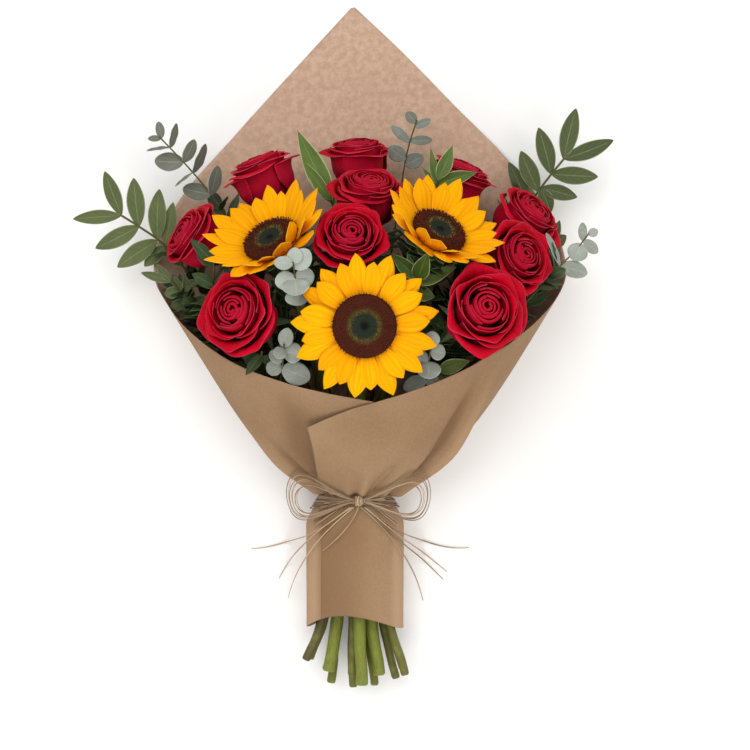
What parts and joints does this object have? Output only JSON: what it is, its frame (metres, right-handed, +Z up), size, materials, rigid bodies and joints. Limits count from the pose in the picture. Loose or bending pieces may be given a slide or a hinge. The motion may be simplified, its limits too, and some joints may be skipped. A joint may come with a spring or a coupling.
{
  "type": "mixed flower bouquet",
  "caption": "Hand-tied bouquet of red roses, sunflowers and mixed greenery in a kraft paper wrap with a raffia bow, lying on its back.",
  "frame": {"origin": "on the table that the bouquet lies on, at the middle of its length and width", "axes": "+Z up from the table, +Y from the cut stems towards the paper's peak, +X to the right of someone who looks down on the flowers"},
  "size_m": [0.4115, 0.5285, 0.1715],
  "materials": {
    "kraft_paper": "unbleached kraft paper, matte and finely mottled, soft creases at the tie",
    "rose_petals": "velvety deep crimson petals with a thin paler rim",
    "sunflower_petals": "golden yellow petals with fine lengthwise grooves, orange at their roots",
    "sunflower_disc": "dense florets, maroon brown outside, olive speckled ring, dark green centre",
    "green_stems": "fresh cut green stems, slightly waxy, pale at the cut",
    "ruscus_leaves": "leathery green leaves with a paler midrib and edge",
    "eucalyptus_leaves": "waxy grey green leaves with a silvery bloom",
    "striped_leaves": "smooth green leaves with pale cream edges",
    "rose_leaves": "dark green leaves with fine side veins",
    "raffia": "dry natural raffia, fibrous and matte"
  },
  "bodies": {
    "root": {"kraft_wrap": "kraft_paper", "rose_1_bloom": "rose_petals", "rose_2_bloom": "rose_petals", "rose_3_bloom": "rose_petals", "rose_4_bloom": "rose_petals", "rose_5_bloom": "rose_petals", "rose_6_bloom": "rose_petals", "rose_7_bloom": "rose_petals", "rose_8_bloom": "rose_petals", "rose_9_bloom": "rose_petals", "rose_10_bloom": "rose_petals", "rose_1_stem": "green_stems", "rose_2_stem": "green_stems", "rose_3_stem": "green_stems", "rose_4_stem": "green_stems", "rose_5_stem": "green_stems", "rose_6_stem": "green_stems", "rose_7_stem": "green_stems", "rose_8_stem": "green_stems", "rose_9_stem": "green_stems", "rose_10_stem": "green_stems", "sunflower_1_petals": "sunflower_petals", "sunflower_2_petals": "sunflower_petals", "sunflower_3_petals": "sunflower_petals", "sunflower_1_disc": "sunflower_disc", "sunflower_2_disc": "sunflower_disc", "sunflower_3_disc": "sunflower_disc", "sunflower_1_stem": "green_stems", "sunflower_2_stem": "green_stems", "sunflower_3_stem": "green_stems", "ruscus_spray_left": "ruscus_leaves", "ruscus_spray_right": "ruscus_leaves", "leafy_twig_right": "ruscus_leaves", "leafy_twig_left": "ruscus_leaves", "eucalyptus_spray_left": "eucalyptus_leaves", "eucalyptus_spray_top": "eucalyptus_leaves", "eucalyptus_spray_right": "eucalyptus_leaves", "eucalyptus_spray_middle": "eucalyptus_leaves", "eucalyptus_spray_front_left": "eucalyptus_leaves", "eucalyptus_spray_front_right": "eucalyptus_leaves", "striped_leaves_back_left": "striped_leaves", "striped_leaves_back_right": "striped_leaves", "striped_leaves_middle": "striped_leaves", "striped_leaves_front_right": "striped_leaves", "rose_leaves_left": "rose_leaves", "rose_leaves_front_left": "rose_leaves", "raffia_binding": "raffia", "raffia_bow": "raffia", "raffia_tail_1": "raffia", "raffia_tail_2": "raffia", "raffia_tail_3": "raffia", "raffia_tail_4": "raffia", "raffia_tail_5": "raffia", "raffia_tail_6": "raffia", "raffia_tail_7": "raffia", "raffia_tail_8": "raffia"}
  },
  "joints": []
}
